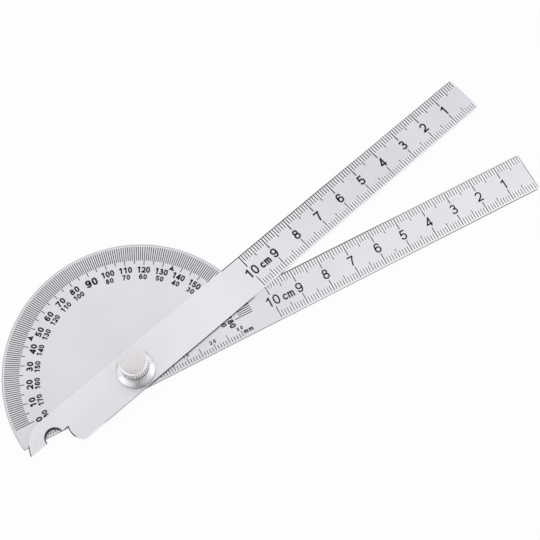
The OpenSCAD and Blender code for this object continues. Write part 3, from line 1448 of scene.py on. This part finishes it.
def hang_card(name, radius, place, glow):
    """A round card that only reflections show."""
    material, _, shader = new_material(name + "_black")
    shader.inputs["Base Color"].default_value = CARD_BLACK
    shader.inputs["Roughness"].default_value = CARD_ROUGH
    shader.inputs["Emission Color"].default_value = padded(WHITE)
    shader.inputs["Emission Strength"].default_value = glow
    bm = bmesh.new()
    bmesh.ops.create_circle(
        bm, cap_ends=True, radius=radius, segments=CARD_STEPS, matrix=place
    )
    card = new_object(bm, name, material)
    card.visible_camera = False
    card.visible_diffuse = False
    card.visible_shadow = False
    card.visible_transmission = False


def set_lamp(name, power, spot, size):
    """A soft square lamp that looks at the object."""
    data = bpy.data.lights.new(name, "AREA")
    data.energy = power
    data.size = size
    lamp = bpy.data.objects.new(name, data)
    lamp.location = spot
    lamp.rotation_euler = look_at(spot).to_euler()
    bpy.context.scene.collection.objects.link(lamp)


# ---------------------------------------------------------------------------------------
# Operators
# ---------------------------------------------------------------------------------------


class ANGLEFINDER_OT_finish_plates(bpy.types.Operator):
    """Gives both stamped plates their satin steel and their rounded edges"""

    bl_idname = "angle_finder.finish_plates"
    bl_label = "Finish plates"

    def execute(self, context):
        finish = context.scene.angle_finder_finish
        turn = context.scene.angle_finder_marks.set_angle
        fixed = (finish.head, finish.fixed_rule, finish.head_wall)
        swing = (finish.swing, finish.swing_rule, finish.swing_wall)
        for node, colours, way in (("base_plate", fixed, 0.0), ("swing_arm", swing, turn)):
            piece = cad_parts[node]
            piece.material_slots[0].material = plate_material(node, colours, finish.satin, way)
            round_edges(piece)
        return {"FINISHED"}


class ANGLEFINDER_OT_turn_clamp(bpy.types.Operator):
    """Makes the stud with its thread, the dished washer and the knurled nut"""

    bl_idname = "angle_finder.turn_clamp"
    bl_label = "Turn clamp"

    def execute(self, context):
        finish = context.scene.angle_finder_finish
        stud = (finish.stud, finish.stud, finish.stud_wall)
        washer = (finish.washer, finish.washer, finish.washer_wall)
        nut = (finish.nut, finish.nut_chamfer, finish.nut_groove)
        knurl = (NUT_HI.x, NUT_HI.z - BAND_H)
        fine, coarse = (FINE_RINGS, FINE_CONTRAST), (COARSE_RINGS, COARSE_CONTRAST)
        pivot_stud(turned_material("turned_stud", stud, finish.turned, *fine))
        dished_washer(turned_material("bright_washer", washer, finish.bright, *coarse))
        thumb_nut(turned_material("turned_nut", nut, finish.turned, *fine, knurl))
        return {"FINISHED"}


class ANGLEFINDER_OT_mark_arms(bpy.types.Operator):
    """Etches the centimetre scales of both arms"""

    bl_idname = "angle_finder.mark_arms"
    bl_label = "Mark arms"

    def execute(self, context):
        marks = context.scene.angle_finder_marks
        ink = shared_ink(context)
        fixed = Matrix.Translation((0, 0, PLATE_TOP))
        swing = Matrix.Translation((0, 0, ARM_TOP)) @ Matrix.Rotation(marks.set_angle, 4, "Z")
        arm_scale(marks, fixed, "fixed_arm", "base", marks.line_w, marks.fixed_pen, ink)
        arm_scale(marks, swing, "swing_arm", "arm", marks.far_line_w, marks.swing_pen, ink)
        return {"FINISHED"}


class ANGLEFINDER_OT_mark_head(bpy.types.Operator):
    """Etches the degree scale, its numbers and the scales of the straight edge"""

    bl_idname = "angle_finder.mark_head"
    bl_label = "Mark head"

    def execute(self, context):
        marks = context.scene.angle_finder_marks
        ink = shared_ink(context)
        degree_scale(marks, ink)
        edge_scale(marks, ink)
        return {"FINISHED"}


class ANGLEFINDER_OT_set_stage(bpy.types.Operator):
    """Sets the camera, the pale floor and the soft lamps"""

    bl_idname = "angle_finder.set_stage"
    bl_label = "Set stage"

    def execute(self, context):
        studio = context.scene.angle_finder_studio
        context.scene.view_settings.view_transform = "Standard"
        set_camera(context.scene, studio)
        set_floor(studio)
        set_world(context.scene, studio)
        set_card(studio)
        set_low_card()
        for name, spot, size in LAMPS:
            set_lamp(name, getattr(studio, name), spot, size)
        return {"FINISHED"}


class ANGLEFINDER_PT_sidebar(bpy.types.Panel):
    """Lists the steps and their sizes"""

    bl_idname = "ANGLEFINDER_PT_sidebar"
    bl_label = "Angle Finder"
    bl_space_type = "VIEW_3D"
    bl_region_type = "UI"
    bl_category = "Angle Finder"

    def draw(self, context):
        for step in STEPS:
            self.layout.operator(step.bl_idname)
        for group in GROUPS:
            settings = getattr(context.scene, group)
            for name in settings.bl_rna.properties.keys():
                if name not in ("rna_type", "name"):
                    self.layout.prop(settings, name)


STEPS = (
    ANGLEFINDER_OT_set_stage,
    ANGLEFINDER_OT_finish_plates,
    ANGLEFINDER_OT_turn_clamp,
    ANGLEFINDER_OT_mark_arms,
    ANGLEFINDER_OT_mark_head,
)
GROUPS = {
    "angle_finder_marks": AngleFinderMarks,
    "angle_finder_finish": AngleFinderFinish,
    "angle_finder_studio": AngleFinderStudio,
}


def register():
    """Registers the sizes, the steps and the panel."""
    for cls in (*GROUPS.values(), *STEPS, ANGLEFINDER_PT_sidebar):
        bpy.utils.register_class(cls)
    for name, cls in GROUPS.items():
        setattr(bpy.types.Scene, name, bpy.props.PointerProperty(type=cls))


def unregister():
    """Takes them out again."""
    for name in GROUPS:
        delattr(bpy.types.Scene, name)
    for cls in (ANGLEFINDER_PT_sidebar, *reversed(STEPS), *GROUPS.values()):
        bpy.utils.unregister_class(cls)


def main():
    """Runs every step."""
    register()
    bpy.ops.angle_finder.set_stage()
    bpy.ops.angle_finder.finish_plates()
    bpy.ops.angle_finder.turn_clamp()
    bpy.ops.angle_finder.mark_arms()
    bpy.ops.angle_finder.mark_head()


if __name__ == "__main__":
    main()
